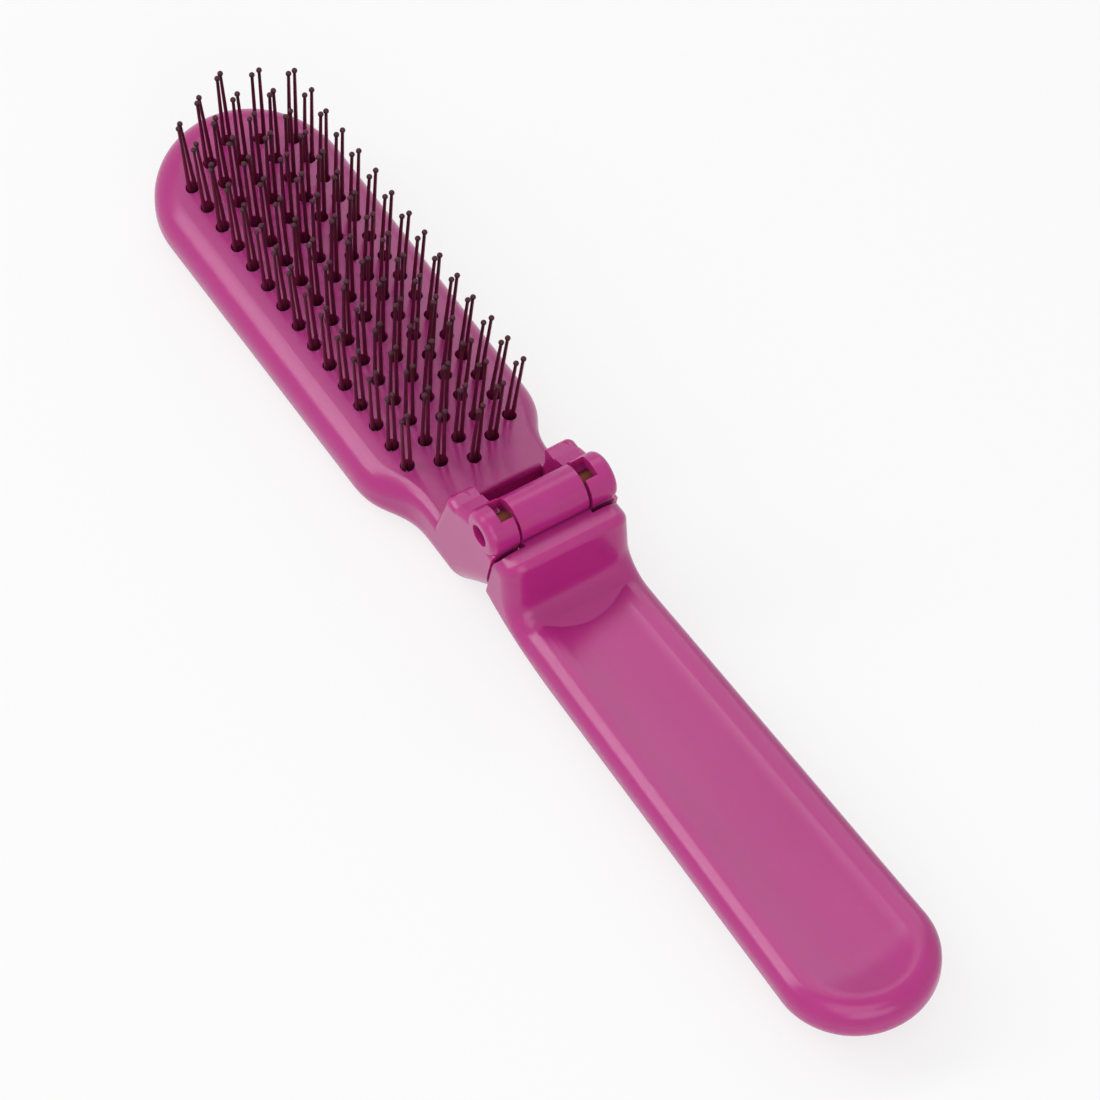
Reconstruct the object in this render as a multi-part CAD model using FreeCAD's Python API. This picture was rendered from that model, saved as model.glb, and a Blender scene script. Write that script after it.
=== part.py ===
import FreeCAD, Part
import math
import os

from FreeCAD import Placement, Rotation, Vector

# Folding travel brush, open and lying on its back. Sizes in mm.
# The head points towards -X, the handle towards +X and the bristles up.
overall_length = 190.6
head_width = 29.8
head_thickness = 11.0
head_edge_round = 4.2
head_back_round = 4.8
face_crown_radius = 51.0

# Neck: the head narrows in an S to the width of the hinge and ends in a heel under it.
neck_width = 21.5
neck_start = 14.8
neck_run = 14.0
neck_edge_round = 2.0
heel_lift = 7.5
heel_run = 8.5
heel_round = 4.0
hinge_from_tip = 95.8
hinge_above_face = 10.0

# Hinge: two outer knuckles on the head, one barrel on the handle, one pin.
knuckle_radius = 3.75
barrel_radius = 3.6
barrel_length = 11.3
hinge_side_gap = 0.5
swing_clearance = 0.8
pin_radius = 1.75
press_clearance = 0.01
running_clearance = 0.06
pin_recess = 2.6
blind_wall = 2.1
pin_end_gap = 0.2
arm_drop = 1.5
arm_length = 9.3
arm_foot_length = 12.2
arm_edge_round = 1.2
pad_length = 2.6
pad_step = 0.5
ramp_slope = 20.0
window_width = 2.0
window_length = 4.2
window_shift = 0.3
mark_radius = 1.05
mark_depth = 0.12
pit_length = 12.6
pit_depth = 4.2
slot_half_width = 7.7
face_end_round = 0.8
pit_end = 4.4

# Handle: a dished grip that widens to a round end, with a cross block beside the hinge.
joint_gap = 0.3
joint_from_axis = 3.8
joint_lean = 13.0
handle_end_radius = 12.3
handle_taper = 1.5
handle_thickness = 7.6
handle_rise = 1.7
handle_sink = 1.8
rim_round = 3.0
handle_back_round = 3.8
toe_lift = 4.2
toe_run = 9.5
toe_round = 40.0
waist_run = 9.0
rim_width = 3.3
rim_lip = 1.2
rim_edge_slope = 4.0
dish_side_slope = 18.0
dish_start = 7.0
dish_foot_slope = 30.0
dish_step = 0.1
block_width = 21.0
block_length = 4.0
block_drop = 1.1
block_edge_round = 1.3
block_foot_round = 3.4
block_draft = 3.0
web_drop = 0.3

# Bristles: U-bent filaments with ball ends, five staggered rows, each held in its hole by an anchor.
tuft_pitch = 4.35
row_pitch = 4.35
stations = 16
first_tuft_from_tip = 7.4
tuft_height = 14.0
filament_radius = 0.36
ball_radius = 0.56
leg_offset = 0.6
lean_per_station = 0.9
lean_per_row = 2.25
hole_radius = 1.1
hole_depth = 5.0
hole_floor_gap = 0.1
anchor_length = 2.6
anchor_width = 0.42
anchor_height = 1.5
anchor_gap = 0.03

# Positions that follow from the sizes above.
tip_x = -overall_length / 2
end_x = overall_length / 2
half_head = head_width / 2
half_neck = neck_width / 2
half_block = block_width / 2
face_z = head_thickness
axis_x = tip_x + hinge_from_tip
axis_z = face_z + hinge_above_face
joint_x = axis_x + joint_from_axis
joint_z = axis_z - block_drop
lean = math.radians(joint_lean)
rise = math.radians(handle_rise)
half_barrel = barrel_length / 2
knuckle_start = half_barrel + hinge_side_gap
arm_top = axis_z - arm_drop
arm_back = axis_x - arm_length
pit_start = axis_x - pit_length
middle_station_x = tip_x + first_tuft_from_tip + stations / 2 * tuft_pitch
crown_centre_z = face_z - face_crown_radius
taper = math.radians(handle_taper)
high = 4 * head_thickness

# How close an edge lies to a plane that it counts as being in, and how far a cut runs past the body.
near = 0.01
beyond = 1.0

# Handle, level: its underside is at height 0. It is then turned up by handle_rise about the top of the joint.
block_height = handle_thickness + joint_z - face_z + handle_sink
back_round_centre_z = block_height - handle_back_round
handle_reach = (end_x - handle_back_round - joint_x - back_round_centre_z * math.sin(rise)) / math.cos(rise)
handle_end_x = joint_x + handle_reach + handle_back_round
end_centre_x = handle_end_x - handle_end_radius


def line(a, b):
    return Part.makeLine(a, b)


def arc(a, b, c):
    return Part.Arc(a, b, c).toShape()


def bezier(*poles):
    curve = Part.BezierCurve()
    curve.setPoles(list(poles))
    return curve.toShape()


def mirrored(shape):
    return shape.mirror(Vector(0, 0, 0), Vector(0, 1, 0))


def prism(edges, direction):
    wire = Part.Wire(Part.__sortEdges__(edges))
    return Part.Face(wire).extrude(direction)


def cylinder_y(radius, x, z, y_from, y_to):
    return Part.makeCylinder(radius, y_to - y_from, Vector(x, y_from, z), Vector(0, 1, 0))


def box(x_from, x_to, y_from, y_to, z_from, z_to):
    return Part.makeBox(x_to - x_from, y_to - y_from, z_to - z_from, Vector(x_from, y_from, z_from))


def rounded_path(corners):
    """Edges in the XZ plane through (x, z, radius) corners, each corner rounded by its radius."""
    points = [Vector(x, 0, z) for x, z, _ in corners]
    edges = []
    start = points[0]
    for k in range(1, len(points) - 1):
        here = points[k]
        back = (points[k - 1] - here).normalize()
        ahead = (points[k + 1] - here).normalize()
        half_angle = back.getAngle(ahead) / 2
        radius = corners[k][2]
        if radius == 0:
            edges.append(line(start, here))
            start = here
            continue
        reach = radius / math.tan(half_angle)
        inwards = (back + ahead).normalize()
        centre = here + inwards * (radius / math.sin(half_angle))
        leave = here + back * reach
        join = here + ahead * reach
        edges.append(line(start, leave))
        edges.append(arc(leave, centre - inwards * radius, join))
        start = join
    edges.append(line(start, points[-1]))
    return edges


def closed(edges, *corners):
    """The edges closed through further (x, z) corners, from their end back to their start."""
    first = edges[0].Vertexes[0].Point
    points = [edges[-1].Vertexes[-1].Point] + [Vector(x, 0, z) for x, z in corners] + [first]
    return edges + [line(a, b) for a, b in zip(points, points[1:])]


def across(edges):
    """Prism of an XZ outline, along Y through the whole object."""
    solid = prism(edges, Vector(0, 2 * head_width, 0))
    solid.translate(Vector(0, -head_width, 0))
    return solid


def in_range(value, low, top):
    return low < value < top


def is_across(edge):
    """True for a straight edge that runs along Y from flank to flank."""
    bounds = edge.BoundBox
    return bounds.XLength < near and bounds.ZLength < near


def heel_x(z):
    """Where the head ends at the joint, at height z."""
    return joint_x - joint_gap / math.cos(lean) - (joint_z - z) * math.tan(lean)


def face_height(y):
    return crown_centre_z + math.sqrt(face_crown_radius ** 2 - y ** 2)


def upper_rounds(slab, bend_start, bend_end):
    """Upper edges of the head as (number, first radius, last radius), the round narrowing along the neck."""

    def radius(point):
        share = min(max((point.x - bend_start) / (bend_end - bend_start), 0), 1)
        return head_edge_round + (neck_edge_round - head_edge_round) * share

    rounds = []
    for number, edge in enumerate(slab.Edges, 1):
        first = edge.valueAt(edge.FirstParameter)
        last = edge.valueAt(edge.LastParameter)
        crest = abs(first.y) < near and abs(last.y) < near
        if edge.BoundBox.ZMin > face_z / 2 and edge.BoundBox.XMin < bend_end + near and not crest:
            rounds.append((number, radius(first), radius(last)))
    return rounds


def graded_fillet(shape, rounds):
    """Fillet that takes its own first and last radius for each edge."""
    document = FreeCAD.newDocument()
    base = document.addObject("Part::Feature", "Base")
    base.Shape = shape
    fillet = document.addObject("Part::Fillet", "Fillet")
    fillet.Base = base
    fillet.Edges = rounds
    document.recompute()
    rounded = fillet.Shape.copy()
    FreeCAD.closeDocument(document.Name)
    return rounded


def head_blank():
    """Head slab with crowned face and round edges, running on past the joint."""
    tip_centre = tip_x + half_head
    bend_start = axis_x - neck_start - neck_run
    bend_end = axis_x - neck_start
    pull = neck_run / 2
    past_x = joint_x + joint_from_axis
    side = [
        line(Vector(tip_centre, half_head, 0), Vector(bend_start, half_head, 0)),
        bezier(
            Vector(bend_start, half_head, 0),
            Vector(bend_start + pull, half_head, 0),
            Vector(bend_end - pull, half_neck, 0),
            Vector(bend_end, half_neck, 0),
        ),
        line(Vector(bend_end, half_neck, 0), Vector(past_x, half_neck, 0)),
    ]
    outline = side + [mirrored(edge) for edge in side]
    tip_start = Vector(tip_centre, half_head, 0)
    tip_end = Vector(tip_centre, -half_head, 0)
    outline.append(arc(tip_start, Vector(tip_x, 0, 0), tip_end))
    outline.append(line(Vector(past_x, half_neck, 0), Vector(past_x, -half_neck, 0)))
    slab = prism(outline, Vector(0, 0, high))
    crown = Part.makeCylinder(
        face_crown_radius, 2 * overall_length, Vector(-overall_length, 0, crown_centre_z), Vector(1, 0, 0)
    )
    slab = slab.common(crown)
    slab = graded_fillet(slab, upper_rounds(slab, bend_start, bend_end))
    bottom = [e for e in slab.Edges if e.BoundBox.ZMax < near and e.BoundBox.XMin < bend_end + near]
    return slab.makeFillet(head_back_round, bottom)


def head_arm():
    """Arm on the +Y side of the neck, with a sloping back, running on past the joint."""
    foot_z = face_z / 2
    past_x = joint_x + joint_from_axis
    slope = (arm_foot_length - arm_length) / (arm_top - face_z)
    foot = Vector(arm_back - slope * (arm_top - foot_z), knuckle_start, foot_z)
    top = Vector(arm_back, knuckle_start, arm_top)
    past_top = Vector(past_x, knuckle_start, arm_top)
    past_foot = Vector(past_x, knuckle_start, foot_z)
    outline = [line(foot, top), line(top, past_top), line(past_top, past_foot), line(past_foot, foot)]
    plate = prism(outline, Vector(0, half_neck - knuckle_start, 0))
    rounded = []
    for edge in plate.Edges:
        bounds = edge.BoundBox
        behind = bounds.XMin < arm_back + near
        outer = bounds.YMin > half_neck - near and bounds.ZMax > foot_z + near
        across_top = bounds.XMax < arm_back + near and bounds.ZMin > arm_top - near
        if behind and (outer or across_top):
            rounded.append(edge)
    return plate.makeFillet(arm_edge_round, rounded)


def arm_ramp():
    """Ramp on the +Y side, from a step at the end of the arm's pad up into the knuckle."""
    foot_z = arm_top - 2 * arm_edge_round
    step_x = arm_back + pad_length
    step_z = arm_top + pad_step
    ramp_z = step_z + (axis_x - step_x) * math.tan(math.radians(ramp_slope))
    corners = [(step_x, foot_z), (step_x, step_z), (axis_x, ramp_z), (axis_x, foot_z)]
    points = [Vector(x, knuckle_start, z) for x, z in corners]
    outline = [line(a, b) for a, b in zip(points, points[1:] + points[:1])]
    ramp = prism(outline, Vector(0, half_neck - knuckle_start, 0))
    slope = []
    for edge in ramp.Edges:
        bounds = edge.BoundBox
        rises = bounds.XLength > near and bounds.ZLength > near
        if rises and bounds.YMin > half_neck - near:
            slope.append(edge)
    return ramp.makeFillet(arm_edge_round, slope)


def past_heel():
    """Everything beyond the heel: below its slope and beyond the joint."""
    slope = line(Vector(heel_x(heel_lift) - heel_run, 0, 0), Vector(heel_x(heel_lift), 0, heel_lift))
    end = line(Vector(heel_x(heel_lift), 0, heel_lift), Vector(heel_x(high), 0, high))
    return across(closed([slope, end], (end_x, high), (end_x, -high), (heel_x(heel_lift) - heel_run, -high)))


def heel_edges(body):
    """Lower edge and side edges of the heel's slope, in one smooth chain."""
    top_x = heel_x(heel_lift)
    chosen = []
    for edge in body.Edges:
        bounds = edge.BoundBox
        middle = edge.valueAt((edge.FirstParameter + edge.LastParameter) / 2)
        on_slope = abs(middle.z - heel_lift + (top_x - middle.x) * heel_lift / heel_run) < near
        below = bounds.ZMax < heel_lift + near and bounds.XMin > top_x - heel_run - near
        lower = bounds.ZMax < near
        corner = bounds.YLength > near and bounds.ZLength > near
        flank = abs(middle.y) > half_neck - near and bounds.ZLength > near
        if on_slope and below and (lower or corner or flank):
            chosen.append(edge)
    return chosen


def knuckle():
    """Outer knuckle of the hinge on the +Y side."""
    body = cylinder_y(knuckle_radius, axis_x, axis_z, knuckle_start, half_neck)
    rim = [e for e in body.Edges if e.BoundBox.YMin > half_neck - near]
    return body.makeFillet(arm_edge_round, rim)


def head_cuts():
    """Pit under the barrel, windows in the knuckles, ejector marks and the bore for the pin."""
    floor = face_z - pit_depth
    pit = box(pit_start, axis_x - pit_end, -knuckle_start, knuckle_start, floor, high)
    slot = box(pit_start, arm_back, -slot_half_width, slot_half_width, floor, high)
    window = box(
        axis_x - window_shift - window_length / 2,
        axis_x - window_shift + window_length / 2,
        knuckle_start - hinge_side_gap,
        knuckle_start + window_width,
        axis_z + pin_radius / 2,
        high,
    )
    mark = Part.makeCylinder(
        mark_radius,
        pad_step,
        Vector(arm_back + pad_length / 2, (knuckle_start + half_neck) / 2, arm_top - mark_depth),
    )
    bore = cylinder_y(pin_radius + press_clearance, axis_x, axis_z, -head_width, half_neck - blind_wall)
    return [pit, slot, window, mirrored(window), mark, mirrored(mark), bore]


def tuft_places():
    """Station number, row number and placement of every tuft, its Z axis along the leaning bristles."""
    places = []
    for half_steps in range(2 * stations + 1):
        station = half_steps / 2
        rows = (-1, 1) if half_steps % 2 else (-2, 0, 2)
        for row in rows:
            if abs(row) == 2 and not in_range(station, 0.5, stations - 0.5):
                continue
            x = middle_station_x + (station - stations / 2) * tuft_pitch
            y = row * row_pitch
            lean_x = math.tan(math.radians(lean_per_station * (station - stations / 2)))
            lean_y = math.tan(math.radians(lean_per_row * row))
            turn = Rotation(Vector(0, 0, 1), Vector(lean_x, lean_y, 1))
            places.append((half_steps, row, Placement(Vector(x, y, face_height(y)), turn)))
    return places


def one_tuft():
    """U-bent filament with two ball ends, upright at the origin."""
    bend_z = hole_floor_gap - hole_depth + filament_radius + leg_offset
    tip_z = tuft_height - ball_radius
    leg_end = Vector(0, -leg_offset, bend_z)
    leg_start = Vector(0, leg_offset, bend_z)
    path = Part.Wire(
        [
            line(Vector(0, -leg_offset, tip_z), leg_end),
            arc(leg_end, Vector(0, 0, bend_z - leg_offset), leg_start),
            line(leg_start, Vector(0, leg_offset, tip_z)),
        ]
    )
    section = Part.Wire(Part.makeCircle(filament_radius, Vector(0, -leg_offset, tip_z), Vector(0, 0, -1)))
    filament = path.makePipeShell([section], True, True)
    balls = [Part.makeSphere(ball_radius, Vector(0, side * leg_offset, tip_z)) for side in (-1, 1)]
    return filament.fuse(balls).removeSplitter()


def one_anchor(clearance):
    """Flat wire staple across the hole, resting in the bend of the filament."""
    low = hole_floor_gap - hole_depth + 2 * filament_radius + anchor_gap
    top = low + anchor_height + clearance
    half_length = anchor_length / 2 + clearance
    half_width = anchor_width / 2 + clearance
    return box(-half_length, half_length, -half_width, half_width, low - clearance, top)


def placed(shape, placement):
    copy = shape.copy()
    copy.Placement = placement.multiply(copy.Placement)
    return copy


def brush_head(places):
    hole = Part.makeCylinder(hole_radius, hole_depth + head_edge_round, Vector(0, 0, -hole_depth))
    pocket = hole.fuse(one_anchor(anchor_gap))
    arm = head_arm()
    body = head_blank().fuse([arm, mirrored(arm)]).cut(past_heel()).removeSplitter()
    body = body.makeFillet(heel_round, heel_edges(body))
    ends = [knuckle(), arm_ramp()]
    body = body.fuse(ends + [mirrored(end) for end in ends]).cut(head_cuts())
    face_end = []
    for edge in body.Edges:
        bounds = edge.BoundBox
        at_pit = bounds.XMin > pit_start - near and bounds.XMax < pit_start + near
        if at_pit and bounds.ZMin > face_height(slot_half_width) - near:
            face_end.append(edge)
    body = body.makeFillet(face_end_round, face_end)
    body = body.cut([placed(pocket, place) for _, _, place in places])
    return body.removeSplitter()


def handle_blank():
    """Grip slab and cross block, level, with all outer edges rounded."""
    past_x = joint_x - 2 * joint_from_axis
    wall_top = joint_x + block_length
    wall_foot = wall_top + (block_height - handle_thickness) * math.tan(math.radians(block_draft))
    waist_start = wall_foot + block_foot_round
    waist_end = waist_start + waist_run
    tangent = Vector(
        end_centre_x - handle_end_radius * math.sin(taper), handle_end_radius * math.cos(taper), 0
    )
    waist = Vector(waist_end, tangent.y - (tangent.x - waist_end) * math.tan(taper), 0)
    pull = waist_run / 3
    side = [
        line(tangent, waist),
        bezier(
            waist,
            waist - Vector(pull, pull * math.tan(taper), 0),
            Vector(waist_start + pull, half_block, 0),
            Vector(waist_start, half_block, 0),
        ),
        line(Vector(waist_start, half_block, 0), Vector(past_x, half_block, 0)),
    ]
    outline = side + [mirrored(edge) for edge in side]
    outline.append(arc(tangent, Vector(handle_end_x, 0, 0), Vector(tangent.x, -tangent.y, 0)))
    outline.append(line(Vector(past_x, half_block, 0), Vector(past_x, -half_block, 0)))
    toe_x = joint_x - (block_height - toe_lift) * math.tan(lean + rise)
    toe_slope = toe_lift / toe_run
    top_line = rounded_path(
        [
            (past_x - beyond, block_height, 0),
            (wall_top, block_height, block_edge_round),
            (wall_foot, handle_thickness, block_foot_round),
            (end_x + beyond, handle_thickness, 0),
        ]
    )
    back_line = rounded_path(
        [
            (end_x + beyond, 0, 0),
            (toe_x + toe_run, 0, toe_round),
            (past_x - beyond, (toe_x + toe_run - past_x + beyond) * toe_slope, 0),
        ]
    )
    turn = [line(Vector(end_x + beyond, 0, handle_thickness), Vector(end_x + beyond, 0, 0))]
    slab = prism(outline, Vector(0, 0, high)).common(across(closed(top_line + turn + back_line)))
    slab = slab.makeFillet(rim_round, [e for e in lengthwise(slab, past_x) if is_upper(e)])
    return slab.makeFillet(handle_back_round, [e for e in lengthwise(slab, past_x) if not is_upper(e)])


def lengthwise(slab, past_x):
    """Edges of the handle slab that follow its outline, without those of its cut end."""
    edges = []
    for edge in slab.Edges:
        bounds = edge.BoundBox
        upright = bounds.XLength < near and bounds.YLength < near
        if not upright and not is_across(edge) and bounds.XMax > past_x + near:
            edges.append(edge)
    return edges


def is_upper(edge):
    """True for an edge in the upper half of the handle."""
    middle = edge.valueAt((edge.FirstParameter + edge.LastParameter) / 2)
    top = block_height if middle.x < joint_x + block_length else handle_thickness
    return middle.z > top / 2


def dish_points(half_width):
    """Half a dish section as (offset, height): floor, mid floor, foot of the lip, mid lip, rim edge."""
    edge = math.radians(rim_edge_slope)
    side = math.radians(dish_side_slope)
    lip_radius = rim_lip / (math.sin(side) - math.sin(edge))
    lip_y = half_width + lip_radius * math.sin(edge)
    lip_z = handle_thickness - lip_radius * math.cos(edge)
    floor_radius = (half_width - rim_lip) / math.sin(side)
    floor_z = lip_z + (lip_radius + floor_radius) * math.cos(side)
    points = []
    for angle in (0, side / 2, side):
        points.append((floor_radius * math.sin(angle), floor_z - floor_radius * math.cos(angle)))
    for angle in ((side + edge) / 2, edge):
        points.append((lip_y - lip_radius * math.sin(angle), lip_z + lip_radius * math.cos(angle)))
    return points


def dish_section(x, half_width):
    """Cross-section of the dish at x: floor and lips, open above the rim."""
    floor, floor_mid, foot, lip_mid, edge = dish_points(half_width)

    def point(offset_height, side):
        return Vector(x, side * offset_height[0], offset_height[1])

    corner = (edge[0], block_height)
    return Part.Wire(
        [
            arc(point(edge, -1), point(lip_mid, -1), point(foot, -1)),
            arc(point(foot, -1), point(floor, 1), point(foot, 1)),
            arc(point(foot, 1), point(lip_mid, 1), point(edge, 1)),
            line(point(edge, 1), point(corner, 1)),
            line(point(corner, 1), point(corner, -1)),
            line(point(corner, -1), point(edge, -1)),
        ]
    )


def dish():
    """Dish of the grip: a trough that widens towards the round end and runs out on a sloping foot."""
    start = joint_x + dish_start
    end_half = handle_end_radius - rim_width
    start_half = end_half - (end_centre_x - start) * math.tan(taper)
    sections = [dish_section(start, start_half), dish_section(end_centre_x, end_half)]
    trough = Part.makeLoft(sections, True, True)
    section = [Vector(end_centre_x + r, 0, z) for r, z in dish_points(end_half)]
    floor, floor_mid, foot, lip_mid, edge = section
    over_edge = Vector(edge.x, 0, block_height)
    over_floor = Vector(end_centre_x, 0, block_height)
    half_section = [
        arc(floor, floor_mid, foot),
        arc(foot, lip_mid, edge),
        line(edge, over_edge),
        line(over_edge, over_floor),
        line(over_floor, floor),
    ]
    bowl = Part.Face(Part.Wire(half_section)).revolve(over_floor, Vector(0, 0, 1), 360)
    slope_top = handle_thickness + dish_step
    slope_end = start + slope_top / math.tan(math.radians(dish_foot_slope))
    slope = across(
        closed([line(Vector(start, 0, slope_top), Vector(slope_end, 0, 0))], (0, 0), (0, slope_top))
    )
    return trough.fuse(bowl).cut(slope)


def before_joint():
    """Everything on the head's side of the joint, and the room the outer knuckles need beside the barrel."""
    joint = line(Vector(joint_x, 0, joint_z), Vector(joint_x - joint_z * math.tan(lean), 0, 0))
    space = across(closed([joint], (tip_x, 0), (tip_x, high), (joint_x, high)))
    room = cylinder_y(knuckle_radius + swing_clearance, axis_x, axis_z, half_barrel, head_width)
    return [space, room, mirrored(room)]


def grip_handle():
    body = handle_blank().cut(dish())
    body.rotate(Vector(joint_x, 0, block_height), Vector(0, 1, 0), -handle_rise)
    body.translate(Vector(0, 0, joint_z - block_height))
    body = body.cut(before_joint())
    barrel = cylinder_y(barrel_radius, axis_x, axis_z, -half_barrel, half_barrel)
    web = box(
        axis_x,
        joint_x + block_length / 2,
        -half_barrel,
        half_barrel,
        axis_z - barrel_radius,
        joint_z - web_drop,
    )
    bore = cylinder_y(pin_radius + running_clearance, axis_x, axis_z, -half_neck, half_neck)
    body = body.fuse([barrel, web]).cut(bore)
    return body.removeSplitter()


def hinge_pin():
    blind_end = half_neck - blind_wall - pin_end_gap
    return cylinder_y(pin_radius, axis_x, axis_z, -half_neck + pin_recess, blind_end)


os.makedirs("parts", exist_ok=True)
places = tuft_places()
brush_head(places).exportStep("parts/brush_head.step")
grip_handle().exportStep("parts/grip_handle.step")
hinge_pin().exportStep("parts/hinge_pin.step")
tuft = one_tuft()
for column in range(2 * stations + 1):
    group = [placed(tuft, place) for number, _, place in places if number == column]
    Part.makeCompound(group).exportStep("parts/tufts_%02d.step" % column)
anchor = one_anchor(0)
for row, letter in zip((-2, -1, 0, 1, 2), "abcde"):
    group = [placed(anchor, place) for _, number, place in places if number == row]
    Part.makeCompound(group).exportStep("parts/anchors_%s.step" % letter)
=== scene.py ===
"""Folding travel brush, open on a pale table: magenta plastic, ball-ended bristles and a pinned hinge."""

import math
import random

import bmesh
import bpy
from bpy.props import FloatProperty, FloatVectorProperty, IntProperty, PointerProperty
from mathutils import Matrix, Vector


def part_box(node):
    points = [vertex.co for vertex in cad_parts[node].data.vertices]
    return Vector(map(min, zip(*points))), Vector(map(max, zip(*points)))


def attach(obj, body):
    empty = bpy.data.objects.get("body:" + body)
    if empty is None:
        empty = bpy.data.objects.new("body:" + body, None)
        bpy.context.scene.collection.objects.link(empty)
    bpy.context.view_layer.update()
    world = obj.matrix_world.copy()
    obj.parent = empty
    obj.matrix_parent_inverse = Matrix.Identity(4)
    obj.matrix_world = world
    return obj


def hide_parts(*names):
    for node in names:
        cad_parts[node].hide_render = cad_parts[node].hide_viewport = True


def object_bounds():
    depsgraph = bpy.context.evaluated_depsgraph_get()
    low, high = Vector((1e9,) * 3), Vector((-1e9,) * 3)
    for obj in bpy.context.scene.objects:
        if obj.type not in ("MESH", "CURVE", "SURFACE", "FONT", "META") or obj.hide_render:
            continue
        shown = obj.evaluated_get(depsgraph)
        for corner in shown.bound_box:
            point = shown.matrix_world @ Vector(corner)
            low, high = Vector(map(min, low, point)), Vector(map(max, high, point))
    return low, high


bl_info = {
    "name": "Folding travel brush",
    "version": (1, 0, 0),
    "blender": (4, 5, 0),
    "location": "3D View > Sidebar > Brush",
    "description": "Plants the bristles, finishes the moulded parts and sets the stage of a travel brush",
    "category": "Object",
}

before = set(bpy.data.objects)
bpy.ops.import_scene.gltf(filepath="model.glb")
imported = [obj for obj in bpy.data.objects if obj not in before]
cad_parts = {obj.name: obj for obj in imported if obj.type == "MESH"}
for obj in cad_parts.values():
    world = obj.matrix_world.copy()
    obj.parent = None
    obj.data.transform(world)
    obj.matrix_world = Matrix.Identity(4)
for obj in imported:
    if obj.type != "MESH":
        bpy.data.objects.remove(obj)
cad_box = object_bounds()

HEAD = "head"
PLASTIC_NODES = ("brush_head", "grip_handle")
TUFT_NODES = sorted(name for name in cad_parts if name.startswith("tufts_"))
ANCHOR_NODES = sorted(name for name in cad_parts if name.startswith("anchors_"))

# Points closer than this, in metres, are one point.
MERGE = 1e-6
# Seed of the small strays of the bristles.
STRAY_SEED = 7
# Between these two, most values of a noise texture lie.
NOISE_RANGE = (0.3, 0.7)
WHITE = (1, 1, 1, 1)

# Soft lights, in metres. Each faces the brush, with its width along a direction.
KEY_LIGHT = {"width": 1.05, "depth": 0.4, "place": (-0.5, 0.4, 0.75), "along": (0, 0.88, -0.47)}
LEFT_LIGHT = {"width": 0.8, "depth": 0.28, "place": (-0.45, -0.47, 0.62), "along": (0, 0.8, 0.6)}
FRONT_LIGHT = {"width": 0.8, "depth": 0.4, "place": (0.85, -0.2, 0.35), "along": (0, 1, 0)}
FILL_SIDE = 0.7
FILL_DISTANCE = 0.9
# The floor lies this far under the brush and reaches this many lengths of the brush to each side.
FLOOR_GAP = 0.0001
FLOOR_REACH = 20


# Sizes and colours that a user would change.


class BrushBristles(bpy.types.PropertyGroup):
    """Sizes of one tuft: a filament bent into a U, with a ball on each end."""

    filament_radius: FloatProperty(
        name="Filament radius", description="Radius of the nylon filament", default=0.00036, unit="LENGTH"
    )
    tip_radius: FloatProperty(
        name="Tip radius", description="Radius of the filament under its ball", default=0.00025, unit="LENGTH"
    )
    ball_radius: FloatProperty(
        name="Ball radius",
        description="Radius of the ball on a bristle's end",
        default=0.00045,
        unit="LENGTH",
    )
    leg_offset: FloatProperty(
        name="Leg offset",
        description="Distance of each leg from the tuft's axis",
        default=0.0006,
        unit="LENGTH",
    )
    sides: IntProperty(name="Sides", description="Sides of the round filament", default=10, min=6)
    ball_rings: IntProperty(name="Ball rings", description="Rings of faces on a ball", default=6, min=3)
    bend_steps: IntProperty(name="Bend steps", description="Steps of the bend in the hole", default=6, min=3)
    turn: FloatProperty(
        name="Turn",
        description="How far the tips of a tuft in the middle row are turned at the far end of the head",
        default=math.radians(-40),
        subtype="ANGLE",
    )
    turn_across: FloatProperty(
        name="Turn across",
        description="How much less the tips are turned on the far side, and more on the near side",
        default=math.radians(28),
        subtype="ANGLE",
    )
    turn_fade: FloatProperty(
        name="Turn fade",
        description="Share of the turn that is lost towards the hinge",
        default=0.7,
        subtype="FACTOR",
    )
    twist: FloatProperty(
        name="Twist",
        description="Most that a tuft is turned about its own axis",
        default=math.radians(8),
        subtype="ANGLE",
    )
    splay: FloatProperty(
        name="Splay",
        description="Most that the tip of a bristle strays from its straight line",
        default=0.0002,
        unit="LENGTH",
    )


class BrushColours(bpy.types.PropertyGroup):
    """Colours of the brush's finishes."""

    plastic: FloatVectorProperty(
        name="Plastic", description="Moulded magenta plastic", subtype="COLOR", default=(0.47, 0.024, 0.23)
    )
    plastic_deep: FloatVectorProperty(
        name="Plastic, deep",
        description="Darker drifts in the plastic",
        subtype="COLOR",
        default=(0.43, 0.019, 0.204),
    )
    bristle: FloatVectorProperty(
        name="Bristle", description="Wine-dark nylon filament", subtype="COLOR", default=(0.12, 0.009, 0.030)
    )
    bristle_tip: FloatVectorProperty(
        name="Bristle tip",
        description="Ball ends of the bristles",
        subtype="COLOR",
        default=(0.055, 0.009, 0.019),
    )
    # Painted shade: the pin's steel is darkened to a red-brown, the colour of deep shade in the hinge's
    # windows.
    steel: FloatVectorProperty(
        name="Steel", description="Dark hinge pin", subtype="COLOR", default=(0.16, 0.045, 0.03)
    )
    wire: FloatVectorProperty(
        name="Wire", description="Anchors in the tuft holes", subtype="COLOR", default=(0.62, 0.56, 0.42)
    )
    floor: FloatVectorProperty(
        name="Floor", description="Pale table under the brush", subtype="COLOR", default=(0.9, 0.9, 0.9)
    )


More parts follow.
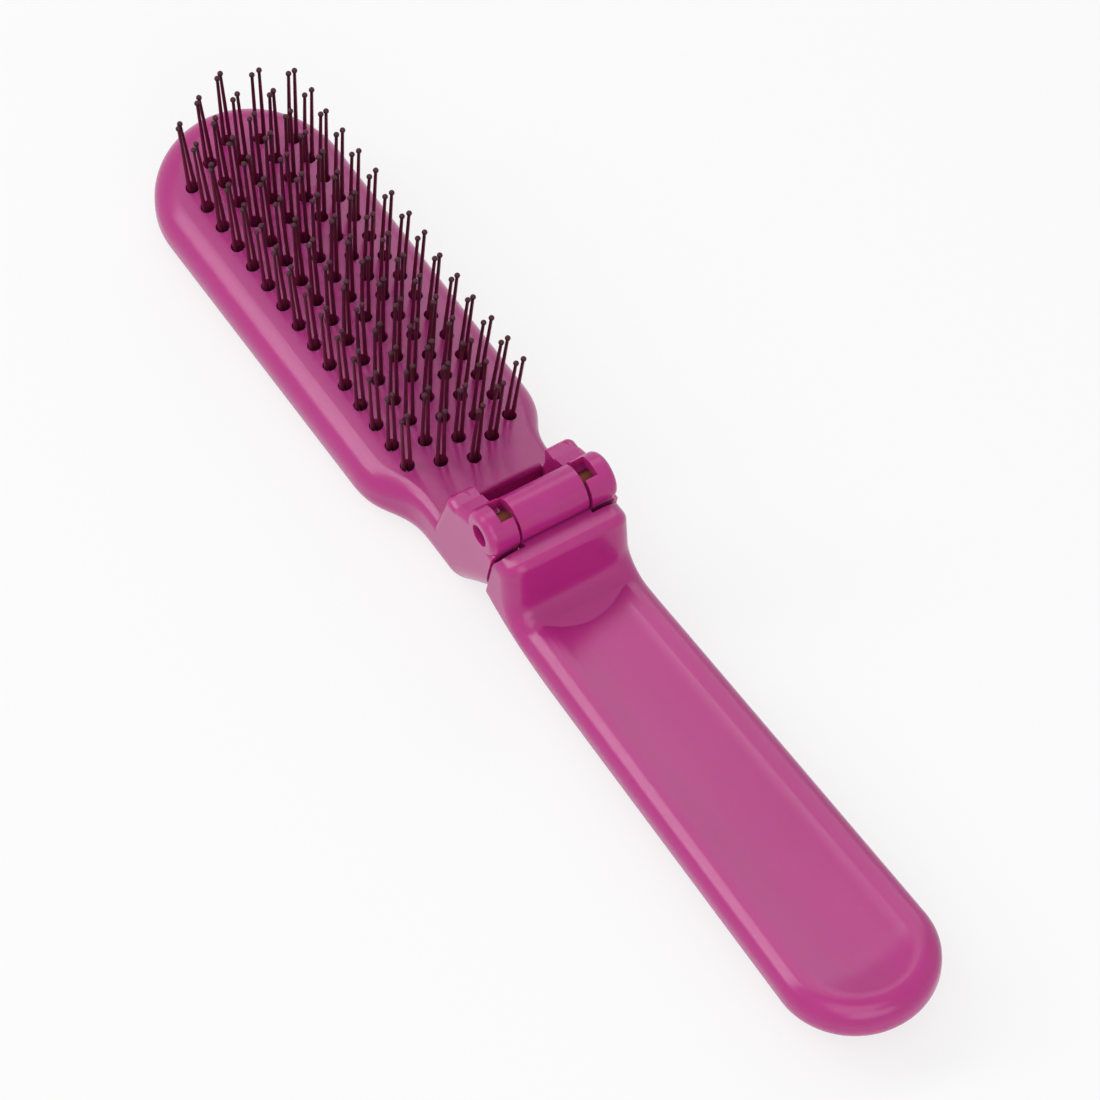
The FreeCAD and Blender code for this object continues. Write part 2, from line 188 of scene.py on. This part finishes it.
class BrushStage(bpy.types.PropertyGroup):
    """Camera and light."""

    azimuth: FloatProperty(
        name="Azimuth",
        description="Direction the camera looks from",
        default=math.radians(57.96),
        subtype="ANGLE",
    )
    elevation: FloatProperty(
        name="Elevation",
        description="Height of the camera's view",
        default=math.radians(53.52),
        subtype="ANGLE",
    )
    distance: FloatProperty(
        name="Distance", description="From the camera to what it aims at", default=1.4696, unit="LENGTH"
    )
    aim: FloatVectorProperty(
        name="Aim",
        description="Point in the middle of the picture",
        subtype="XYZ",
        default=(-0.0121, 0.0091, -0.0111),
    )
    lens: FloatProperty(name="Lens", description="Focal length in millimetres", default=327.27)
    ambient: FloatProperty(name="Ambient", description="Strength of the light from all round", default=0.38)
    key: FloatProperty(name="Key", description="Watts of the large light behind the brush", default=1.6)
    left: FloatProperty(name="Left", description="Watts of the light on the near side", default=3.0)
    front: FloatProperty(name="Front", description="Watts of the low light at the grip's end", default=1.8)
    fill: FloatProperty(name="Fill", description="Watts of the soft light by the camera", default=2.2)


# Helpers for node trees.


def new_material(name):
    """A new material, its node tree and its Principled shader."""
    material = bpy.data.materials.new(name)
    material.use_nodes = True
    shader = material.node_tree.nodes["Principled BSDF"]
    return material, material.node_tree, shader


def on_object(tree):
    """Object coordinates of what is being shaded."""
    return tree.nodes.new("ShaderNodeTexCoord").outputs["Object"]


def noise(tree, stretch, scale, detail):
    """Value of a noise texture on the object, from 0 to 1, stretched along its axes."""
    mapping = tree.nodes.new("ShaderNodeMapping")
    mapping.inputs["Scale"].default_value = stretch
    tree.links.new(on_object(tree), mapping.inputs["Vector"])
    texture = tree.nodes.new("ShaderNodeTexNoise")
    texture.inputs["Scale"].default_value = scale
    texture.inputs["Detail"].default_value = detail
    tree.links.new(mapping.outputs["Vector"], texture.inputs["Vector"])
    return texture.outputs["Fac"]


def spread(tree, value, start, end):
    """A value carried from a range at the start to a range at the end."""
    node = tree.nodes.new("ShaderNodeMapRange")
    node.inputs["From Min"].default_value, node.inputs["From Max"].default_value = start
    node.inputs["To Min"].default_value, node.inputs["To Max"].default_value = end
    tree.links.new(value, node.inputs["Value"])
    return node.outputs["Result"]


def two_colours(tree, value, first, second):
    """Colour between two, by a value from 0 to 1."""
    ramp = tree.nodes.new("ShaderNodeValToRGB")
    ramp.color_ramp.elements[0].color = (*first, 1)
    ramp.color_ramp.elements[1].color = (*second, 1)
    tree.links.new(value, ramp.inputs["Fac"])
    return ramp.outputs["Color"]


def bump(tree, height, distance, strength):
    """Normal of a surface that is raised by a height."""
    node = tree.nodes.new("ShaderNodeBump")
    node.inputs["Distance"].default_value = distance
    node.inputs["Strength"].default_value = strength
    tree.links.new(height, node.inputs["Height"])
    return node.outputs["Normal"]


def seen_directly(tree):
    """1 for what the camera, a mirror or a glass shows, 0 for what only lights other things."""
    path = tree.nodes.new("ShaderNodeLightPath")
    value = path.outputs["Is Camera Ray"]
    for other in ("Is Glossy Ray", "Is Transmission Ray"):
        either = tree.nodes.new("ShaderNodeMath")
        either.operation = "MAXIMUM"
        tree.links.new(value, either.inputs[0])
        tree.links.new(path.outputs[other], either.inputs[1])
        value = either.outputs["Value"]
    return value


# Finishes.


def satin_magenta():
    """Moulded plastic with faint flow drifts along the brush, a satin skin and a glow below it."""
    colours = bpy.context.scene.brush_colours
    material, tree, shader = new_material("satin_magenta")
    drift = noise(tree, stretch=(0.25, 1, 1), scale=90, detail=3)
    grain = noise(tree, stretch=(1, 1, 1), scale=1800, detail=2)
    tint = two_colours(tree, spread(tree, drift, NOISE_RANGE, (0, 1)), colours.plastic_deep, colours.plastic)
    tree.links.new(tint, shader.inputs["Base Color"])
    tree.links.new(spread(tree, grain, NOISE_RANGE, (0.20, 0.27)), shader.inputs["Roughness"])
    tree.links.new(bump(tree, grain, distance=0.00001, strength=0.06), shader.inputs["Normal"])
    shader.inputs["Specular IOR Level"].default_value = 0.45
    shader.inputs["Subsurface Weight"].default_value = 0.5
    shader.inputs["Subsurface Radius"].default_value = (1.0, 0.15, 0.3)
    shader.inputs["Subsurface Scale"].default_value = 0.003
    return material


def wine_nylon():
    """Wine-red nylon with streaks along the filament, darker on the ball ends."""
    colours = bpy.context.scene.brush_colours
    material, tree, shader = new_material("wine_nylon")
    height = tree.nodes.new("ShaderNodeSeparateXYZ")
    tree.links.new(on_object(tree), height.inputs["Vector"])
    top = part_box(TUFT_NODES[len(TUFT_NODES) // 2])[1].z
    ball_zone = 0.0016
    tip = spread(tree, height.outputs["Z"], (top - 2 * ball_zone, top - ball_zone), (0, 1))
    tree.links.new(two_colours(tree, tip, colours.bristle, colours.bristle_tip), shader.inputs["Base Color"])
    streak = noise(tree, stretch=(1, 1, 0.1), scale=2600, detail=2)
    tree.links.new(spread(tree, streak, NOISE_RANGE, (0.32, 0.46)), shader.inputs["Roughness"])
    shader.inputs["Specular IOR Level"].default_value = 0.25
    return material


def drawn_metal(name, colour, roughness):
    """Metal with fine lines drawn along its length, which lies across the brush."""
    dark_share = 0.8
    roughness_swing = 0.06
    material, tree, shader = new_material(name)
    lines = noise(tree, stretch=(1, 0.05, 1), scale=4000, detail=3)
    shade = two_colours(tree, lines, [dark_share * part for part in colour], colour)
    tree.links.new(shade, shader.inputs["Base Color"])
    finish = spread(tree, lines, NOISE_RANGE, (roughness - roughness_swing, roughness + roughness_swing))
    tree.links.new(finish, shader.inputs["Roughness"])
    shader.inputs["Metallic"].default_value = 1
    return material


def pale_floor():
    """White table that keeps the brush's soft shadow and reads as white paper to the camera."""
    paper_share = 0.75
    colours = bpy.context.scene.brush_colours
    material, tree, shader = new_material("pale_floor")
    shader.inputs["Base Color"].default_value = (*colours.floor, 1)
    shader.inputs["Roughness"].default_value = 0.9
    shader.inputs["Specular IOR Level"].default_value = 0
    paper = tree.nodes.new("ShaderNodeEmission")
    share = spread(tree, seen_directly(tree), (0, 1), (0, paper_share))
    mix = tree.nodes.new("ShaderNodeMixShader")
    tree.links.new(share, mix.inputs["Fac"])
    tree.links.new(shader.outputs["BSDF"], mix.inputs[1])
    tree.links.new(paper.outputs["Emission"], mix.inputs[2])
    tree.links.new(mix.outputs["Shader"], tree.nodes["Material Output"].inputs["Surface"])
    return material


def put_on(node, material):
    """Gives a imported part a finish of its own."""
    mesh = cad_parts[node].data
    mesh.materials.clear()
    mesh.materials.append(material)


# Bristles.


def loose_islands(mesh):
    """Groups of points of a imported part, one for each solid in it."""
    bm = bmesh.new()
    bm.from_mesh(mesh)
    bmesh.ops.remove_doubles(bm, verts=bm.verts, dist=MERGE)
    waiting = set(bm.verts)
    islands = []
    for start in bm.verts:
        if start not in waiting:
            continue
        waiting.remove(start)
        edge_of_island = [start]
        points = []
        while edge_of_island:
            here = edge_of_island.pop()
            points.append(here.co.copy())
            for edge in here.link_edges:
                other = edge.other_vert(here)
                if other in waiting:
                    waiting.remove(other)
                    edge_of_island.append(other)
        islands.append(points)
    bm.free()
    return islands


def corners(points):
    """Lowest and highest corner of the box around some points."""
    low = Vector(min(point[axis] for point in points) for axis in range(3))
    high = Vector(max(point[axis] for point in points) for axis in range(3))
    return low, high


def tuft_axis(points, ball_radius):
    """Lowest point of a tuft and the middle between its two ball ends."""
    foot = min(points, key=lambda point: point.z)
    top = max(point.z for point in points)
    low, high = corners([point for point in points if point.z > top - 2 * ball_radius])
    return foot, (low + high) / 2


def rim_of(bm):
    """The open edges of a tube that is being drawn out."""
    return [edge for edge in bm.edges if edge.is_boundary]


def draw_out(bm, step, radius_ratio, centre):
    """Extrudes the open end of a tube by a step and scales its new ring about a centre."""
    made = bmesh.ops.extrude_edge_only(bm, edges=rim_of(bm))
    ring = [item for item in made["geom"] if isinstance(item, bmesh.types.BMVert)]
    bmesh.ops.translate(bm, vec=step, verts=ring)
    bmesh.ops.scale(bm, vec=(radius_ratio,) * 3, space=Matrix.Translation(-centre - step), verts=ring)
    return centre + step


def half_tuft(height):
    """One leg of a tuft, upright: ball, filament and half of the bend, open at the tuft's middle."""
    sizes = bpy.context.scene.brush_bristles
    neck = math.asin(sizes.tip_radius / sizes.ball_radius)
    turns = [neck + (math.pi - 2 * neck) * k / sizes.ball_rings for k in range(sizes.ball_rings + 1)]
    bm = bmesh.new()
    ball_centre = Vector((0, -sizes.leg_offset, height - sizes.ball_radius))
    radius = sizes.ball_radius * math.sin(turns[0])
    centre = ball_centre + Vector((0, 0, sizes.ball_radius * math.cos(turns[0])))
    bmesh.ops.create_circle(
        bm, cap_ends=False, segments=sizes.sides, radius=radius, matrix=Matrix.Translation(centre)
    )
    bmesh.ops.contextual_create(bm, geom=bm.edges[:])
    for before, after in zip(turns, turns[1:]):
        drop = Vector((0, 0, sizes.ball_radius * (math.cos(after) - math.cos(before))))
        centre = draw_out(bm, drop, math.sin(after) / math.sin(before), centre)
    bend_z = sizes.filament_radius + sizes.leg_offset
    centre = draw_out(bm, Vector((0, 0, bend_z - centre.z)), sizes.filament_radius / sizes.tip_radius, centre)
    bmesh.ops.spin(
        bm,
        geom=rim_of(bm),
        cent=(0, 0, bend_z),
        axis=(1, 0, 0),
        angle=math.pi / 2,
        steps=sizes.bend_steps // 2,
    )
    return bm


def whole_tuft(height):
    """A tuft, upright with the bottom of its bend at the origin."""
    bm = half_tuft(height)
    geometry = bm.verts[:] + bm.edges[:] + bm.faces[:]
    bmesh.ops.mirror(bm, geom=geometry, axis="Y", merge_dist=MERGE)
    bmesh.ops.remove_doubles(bm, verts=bm.verts, dist=MERGE)
    bmesh.ops.recalc_face_normals(bm, faces=bm.faces)
    mesh = bpy.data.meshes.new("tuft")
    bm.to_mesh(mesh)
    bm.free()
    return mesh


def plant_tuft(bm, foot, balls, field, dice):
    """Adds one tuft along its axis, its tips turned by its place on the head, each leg a little astray."""
    sizes = bpy.context.scene.brush_bristles
    along = balls - foot
    upright = whole_tuft(along.length + sizes.ball_radius)
    count = len(bm.verts)
    bm.from_mesh(upright)
    bpy.data.meshes.remove(upright)
    bm.verts.ensure_lookup_table()
    planted = bm.verts[count:]
    low, high = field
    across = 2 * (foot.y - low.y) / (high.y - low.y) - 1
    fade = sizes.turn_fade * (foot.x - low.x) / (high.x - low.x)
    turn = (sizes.turn + sizes.turn_across * across) * (1 - fade)
    fan = sizes.leg_offset * Vector((math.sin(turn), math.cos(turn) - 1))
    for side in (-1, 1):
        leg = [vert for vert in planted if side * vert.co.y > 0]
        stray = Matrix.Identity(4)
        for axis in range(2):
            stray[axis][2] = (side * fan[axis] + dice.uniform(-1, 1) * sizes.splay) / along.length
        bmesh.ops.transform(bm, matrix=stray, verts=leg)
    lean = Vector((0, 0, 1)).rotation_difference(along).to_matrix().to_4x4()
    twist = Matrix.Rotation(dice.uniform(-1, 1) * sizes.twist, 4, "Z")
    bmesh.ops.transform(bm, matrix=Matrix.Translation(foot) @ lean @ twist, verts=planted)


def new_piece(name, bm, material):
    """An object at the origin with the mesh that was built, smooth and with one finish."""
    mesh = bpy.data.meshes.new(name)
    bm.to_mesh(mesh)
    bm.free()
    mesh.materials.append(material)
    mesh.shade_smooth()
    piece = bpy.data.objects.new(name, mesh)
    bpy.context.scene.collection.objects.link(piece)
    return piece


# Light and camera.


def area_light(name, power, width, depth, place, along):
    """A soft rectangular light that faces the brush, with its width along a direction."""
    lamp = bpy.data.lights.new(name, "AREA")
    lamp.shape = "RECTANGLE"
    lamp.size = width
    lamp.size_y = depth
    lamp.energy = power
    back = Vector(place).normalized()
    right = Vector(along) - back * back.dot(Vector(along))
    right.normalize()
    turn = Matrix((right, back.cross(right), back)).transposed().to_4x4()
    light = bpy.data.objects.new(name, lamp)
    light.matrix_world = Matrix.Translation(place) @ turn
    bpy.context.scene.collection.objects.link(light)


def white_world(strength):
    """Light from all round, which the camera and reflections see as a white room."""
    world = bpy.data.worlds.new("white_room")
    world.use_nodes = True
    tree = world.node_tree
    room = tree.nodes["Background"]
    room.inputs["Color"].default_value = WHITE
    room.inputs["Strength"].default_value = strength
    paper = tree.nodes.new("ShaderNodeBackground")
    paper.inputs["Color"].default_value = WHITE
    mix = tree.nodes.new("ShaderNodeMixShader")
    tree.links.new(seen_directly(tree), mix.inputs["Fac"])
    tree.links.new(room.outputs["Background"], mix.inputs[1])
    tree.links.new(paper.outputs["Background"], mix.inputs[2])
    tree.links.new(mix.outputs["Shader"], tree.nodes["World Output"].inputs["Surface"])
    bpy.context.scene.world = world


def camera_axes(azimuth, elevation):
    """Right, up and back of a camera that looks from an azimuth and an elevation."""
    right = Vector((math.cos(azimuth), math.sin(azimuth), 0))
    back = Vector(
        (
            math.sin(azimuth) * math.cos(elevation),
            -math.cos(azimuth) * math.cos(elevation),
            math.sin(elevation),
        )
    )
    return right, back.cross(right), back


# Operators.


class BRUSH_OT_finish_plastic(bpy.types.Operator):
    """Finish the moulded head and handle in satin magenta plastic"""

    bl_idname = "brush.finish_plastic"
    bl_label = "Finish plastic"

    def execute(self, context):
        plastic = satin_magenta()
        for node in PLASTIC_NODES:
            put_on(node, plastic)
        return {"FINISHED"}


class BRUSH_OT_plant_bristles(bpy.types.Operator):
    """Plant the ball-ended bristles in the head, one cross-line of holes after the other"""

    bl_idname = "brush.plant_bristles"
    bl_label = "Plant bristles"

    def execute(self, context):
        nylon = wine_nylon()
        dice = random.Random(STRAY_SEED)
        ball_radius = context.scene.brush_bristles.ball_radius
        field = corners([corner for node in TUFT_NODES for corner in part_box(node)])
        for node in TUFT_NODES:
            bm = bmesh.new()
            for points in loose_islands(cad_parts[node].data):
                plant_tuft(bm, *tuft_axis(points, ball_radius), field, dice)
            piece = new_piece(node.replace("tufts", "bristles"), bm, nylon)
            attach(piece, HEAD)
            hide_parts(node)
        return {"FINISHED"}


class BRUSH_OT_finish_metal(bpy.types.Operator):
    """Finish the hinge pin in drawn steel darkened to red-brown as painted shade, and the anchors in drawn
    wire
    """

    bl_idname = "brush.finish_metal"
    bl_label = "Finish metal"

    def execute(self, context):
        colours = context.scene.brush_colours
        # The pin's dark red-brown is painted shade, not the colour of steel.
        put_on("hinge_pin", drawn_metal("steel_painted_shade", colours.steel, roughness=0.55))
        wire = drawn_metal("anchor_wire", colours.wire, roughness=0.4)
        for node in ANCHOR_NODES:
            put_on(node, wire)
        return {"FINISHED"}


class BRUSH_OT_set_stage(bpy.types.Operator):
    """Set the pale floor, the soft lights and the camera"""

    bl_idname = "brush.set_stage"
    bl_label = "Set stage"

    def execute(self, context):
        scene = context.scene
        stage = scene.brush_stage
        low, high = cad_box
        length = high.x - low.x
        bm = bmesh.new()
        under = Matrix.Translation((0, 0, low.z - FLOOR_GAP))
        bmesh.ops.create_grid(bm, x_segments=1, y_segments=1, size=FLOOR_REACH * length, matrix=under)
        new_piece("floor", bm, pale_floor())
        right, up, back = camera_axes(stage.azimuth, stage.elevation)
        area_light("key", stage.key, **KEY_LIGHT)
        area_light("left", stage.left, **LEFT_LIGHT)
        area_light("front", stage.front, **FRONT_LIGHT)
        area_light("fill", stage.fill, FILL_SIDE, FILL_SIDE, FILL_DISTANCE * back, right)
        white_world(stage.ambient)
        lens = bpy.data.cameras.new("camera")
        lens.lens = stage.lens
        camera = bpy.data.objects.new("camera", lens)
        place = Matrix((right, up, back)).transposed().to_4x4()
        place.translation = Vector(stage.aim) + stage.distance * back
        camera.matrix_world = place
        scene.collection.objects.link(camera)
        scene.camera = camera
        scene.view_settings.view_transform = "Standard"
        return {"FINISHED"}


OPERATORS = (
    BRUSH_OT_finish_plastic,
    BRUSH_OT_plant_bristles,
    BRUSH_OT_finish_metal,
    BRUSH_OT_set_stage,
)


class BRUSH_PT_panel(bpy.types.Panel):
    """Steps that dress the brush, in order"""

    bl_idname = "BRUSH_PT_panel"
    bl_label = "Folding travel brush"
    bl_space_type = "VIEW_3D"
    bl_region_type = "UI"
    bl_category = "Brush"

    def draw(self, context):
        for operator in OPERATORS:
            self.layout.operator(operator.bl_idname)
        for group in (context.scene.brush_bristles, context.scene.brush_colours, context.scene.brush_stage):
            box = self.layout.box()
            for name in group.__annotations__:
                box.prop(group, name)


CLASSES = (BrushBristles, BrushColours, BrushStage, *OPERATORS, BRUSH_PT_panel)


def register():
    for kind in CLASSES:
        bpy.utils.register_class(kind)
    bpy.types.Scene.brush_bristles = PointerProperty(type=BrushBristles)
    bpy.types.Scene.brush_colours = PointerProperty(type=BrushColours)
    bpy.types.Scene.brush_stage = PointerProperty(type=BrushStage)


def unregister():
    del bpy.types.Scene.brush_stage
    del bpy.types.Scene.brush_colours
    del bpy.types.Scene.brush_bristles
    for kind in reversed(CLASSES):
        bpy.utils.unregister_class(kind)


def main():
    register()
    bpy.ops.brush.finish_plastic()
    bpy.ops.brush.plant_bristles()
    bpy.ops.brush.finish_metal()
    bpy.ops.brush.set_stage()


if __name__ == "__main__":
    main()
